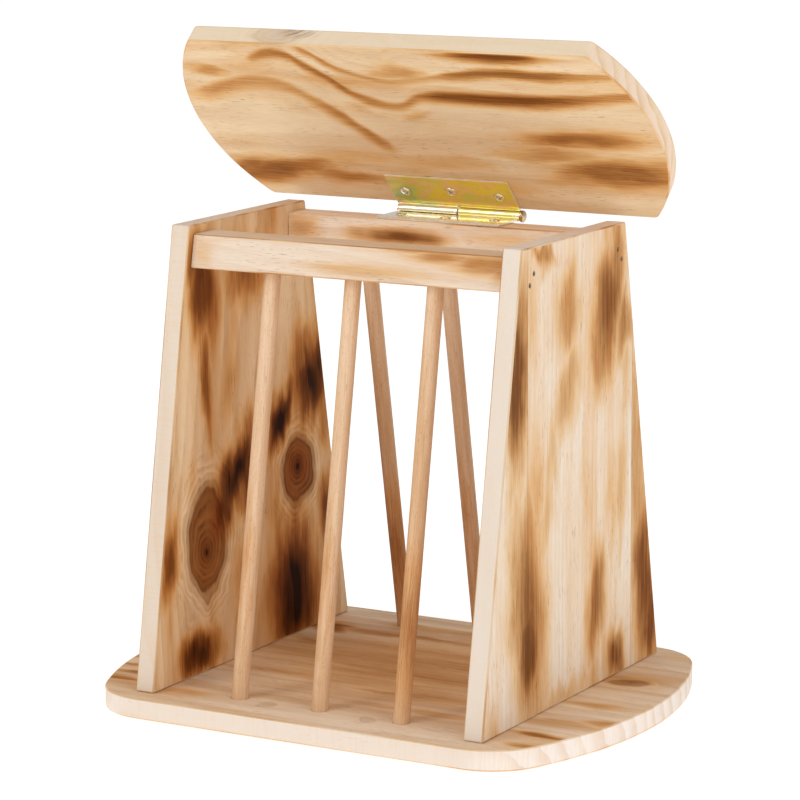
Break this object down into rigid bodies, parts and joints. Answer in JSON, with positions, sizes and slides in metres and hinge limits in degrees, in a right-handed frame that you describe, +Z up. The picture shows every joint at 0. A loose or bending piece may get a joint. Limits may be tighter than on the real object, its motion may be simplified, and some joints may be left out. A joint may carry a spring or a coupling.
{
  "type": "hay rack with hinged lid",
  "caption": "Free-standing pine hay rack for small animals: tapered side panels on a bow-ended base, dowel bars front and back, and a bow-ended lid on a lift-off hinge.",
  "frame": {"origin": "centre of the base board's underside, which rests on the ground", "axes": "+Z up; +X to the right along the hinge axis, towards the pin's head; the front bars face -Y and the hinge is at +Y"},
  "size_m": [0.27, 0.204, 0.3211],
  "materials": {
    "base_pine": "raw planed pine, grain left to right, light flame marks near the ends and small knots",
    "side_pine": "raw planed pine, upright grain, long brown to black flame scorches and ringed knots",
    "rail_pine": "raw planed pine, grain along the rail, soft scorch marks",
    "lid_pine": "raw planed pine, bold wavy grain bands darkened by flame, pale end grain at the bowed ends",
    "dowel_beech": "smooth turned beech, satin",
    "hinge_zinc": "yellow-passivated zinc with a green and red shimmer",
    "pin_zinc": "yellow-passivated zinc, duller on the domed head",
    "screw_steel": "bright zinc-plated, cross recess",
    "brad_steel": "dull bare steel, sunk just below the wood"
  },
  "bodies": {
    "rack": {"base_board": "base_pine", "left_side_panel": "side_pine", "right_side_panel": "side_pine", "front_top_rail": "rail_pine", "back_top_rail": "rail_pine", "front_dowel_1": "dowel_beech", "front_dowel_2": "dowel_beech", "front_dowel_3": "dowel_beech", "back_dowel_1": "dowel_beech", "back_dowel_2": "dowel_beech", "back_dowel_3": "dowel_beech", "hinge_frame_leaf": "hinge_zinc", "frame_leaf_screw_1": "screw_steel", "frame_leaf_screw_2": "screw_steel", "frame_leaf_screw_3": "screw_steel", "base_screw_left_1": "screw_steel", "base_screw_left_2": "screw_steel", "base_screw_left_3": "screw_steel", "base_screw_right_1": "screw_steel", "base_screw_right_2": "screw_steel", "base_screw_right_3": "screw_steel", "front_rail_brad_left_1": "brad_steel", "front_rail_brad_left_2": "brad_steel", "back_rail_brad_left_1": "brad_steel", "back_rail_brad_left_2": "brad_steel", "front_rail_brad_right_1": "brad_steel", "front_rail_brad_right_2": "brad_steel", "back_rail_brad_right_1": "brad_steel", "back_rail_brad_right_2": "brad_steel"},
    "pin": {"hinge_pin": "pin_zinc"},
    "lid": {"lid_board": "lid_pine", "hinge_lid_leaf": "hinge_zinc", "lid_leaf_screw_1": "screw_steel", "lid_leaf_screw_2": "screw_steel", "lid_leaf_screw_3": "screw_steel"}
  },
  "joints": [
    {"name": "lid_lift_off", "type": "slide", "parent": "rack", "child": "pin", "axis": [1, 0, 0], "range_m": [0, 0.034]},
    {"name": "lid_hinge", "type": "hinge", "parent": "pin", "child": "lid", "pos_m": [0, 0.06045, 0.22815], "axis": [-1, 0, 0], "range_deg": [-47, 166]}
  ]
}
